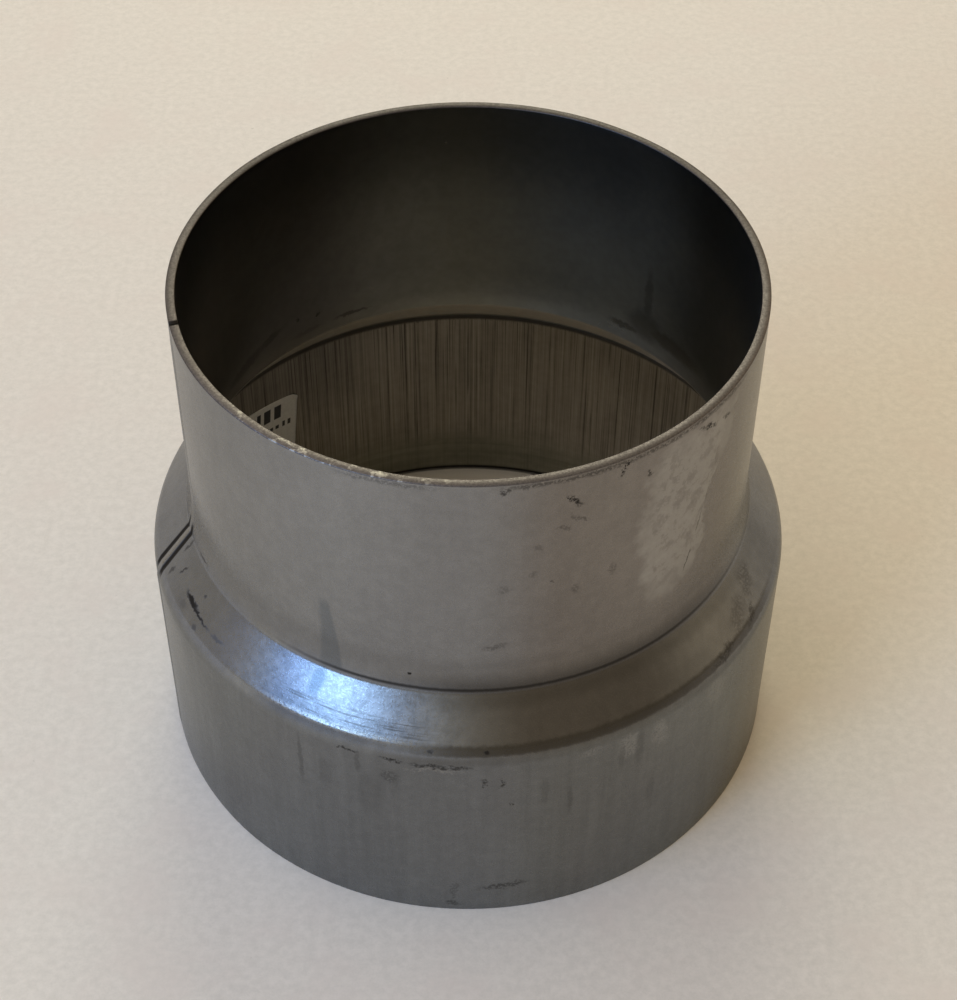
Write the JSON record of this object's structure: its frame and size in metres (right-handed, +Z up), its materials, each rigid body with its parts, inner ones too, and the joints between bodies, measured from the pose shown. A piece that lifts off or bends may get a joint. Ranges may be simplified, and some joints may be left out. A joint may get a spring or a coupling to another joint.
{
  "type": "duct reducer",
  "caption": "Round steel flue pipe reducer with a wide collar, a sloped shoulder and a narrower spigot, seam welded along one side.",
  "frame": {"origin": "on the axis of the tube, in the plane of the foot that it stands on", "axes": "+Z up along the axis, from the collar to the spigot; the weld seam is at 195 degrees about +Z from +X"},
  "size_m": [0.15, 0.15, 0.129],
  "materials": {
    "raw_steel": "uncoated rolled steel, oiled and scuffed",
    "label_paper": "matte paper label"
  },
  "bodies": {
    "root": {"reducer_body": "raw_steel", "paper_label": "label_paper"}
  },
  "joints": []
}
